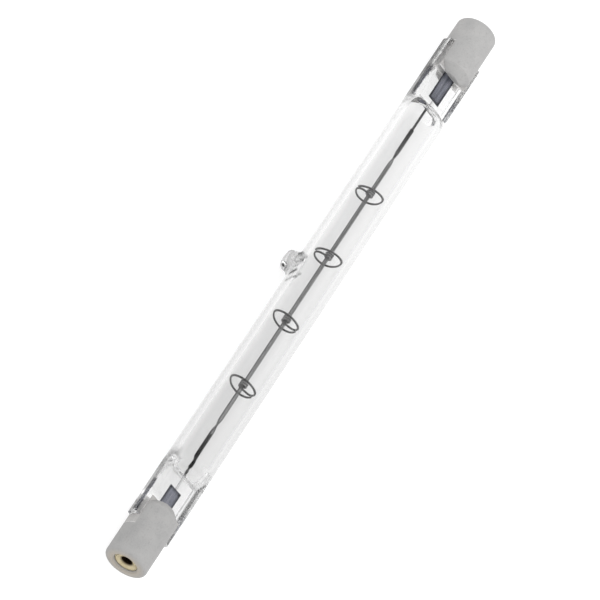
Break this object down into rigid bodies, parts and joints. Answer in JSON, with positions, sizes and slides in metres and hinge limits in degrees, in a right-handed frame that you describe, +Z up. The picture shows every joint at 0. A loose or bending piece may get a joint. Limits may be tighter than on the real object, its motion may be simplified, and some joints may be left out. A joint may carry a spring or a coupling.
{
  "type": "linear halogen bulb",
  "caption": "Double-ended linear halogen bulb: a clear quartz tube with flat foil-sealed pinches, a coiled filament on ring supports, and ceramic end caps with recessed brass contacts.",
  "frame": {"origin": "on the tube's axis, midway between the two end faces", "axes": "+X along the lamp towards the end farther from the camera in the picture, +Z up and square to the flat pinches, +Y across the pinches towards the exhaust tip's side"},
  "size_m": [0.1176, 0.0101, 0.008],
  "materials": {
    "quartz": "clear and fire polished",
    "tungsten": "dull drawn wire",
    "support_wire": "dull drawn wire",
    "lead_wire": "drawn wire",
    "foil": "rolled foil",
    "steatite": "unglazed and matt",
    "contact_brass": "dull",
    "cement": "rough and matt"
  },
  "bodies": {
    "root": {"quartz_envelope": "quartz", "filament_coil": "tungsten", "filament_support_1": "support_wire", "filament_support_2": "support_wire", "filament_support_3": "support_wire", "filament_support_4": "support_wire", "inner_lead_left": "lead_wire", "inner_lead_right": "lead_wire", "outer_lead_left": "lead_wire", "outer_lead_right": "lead_wire", "molybdenum_foil_left": "foil", "molybdenum_foil_right": "foil", "ceramic_cap_left": "steatite", "ceramic_cap_right": "steatite", "contact_left": "contact_brass", "contact_right": "contact_brass", "cap_cement_left": "cement", "cap_cement_right": "cement"}
  },
  "joints": []
}
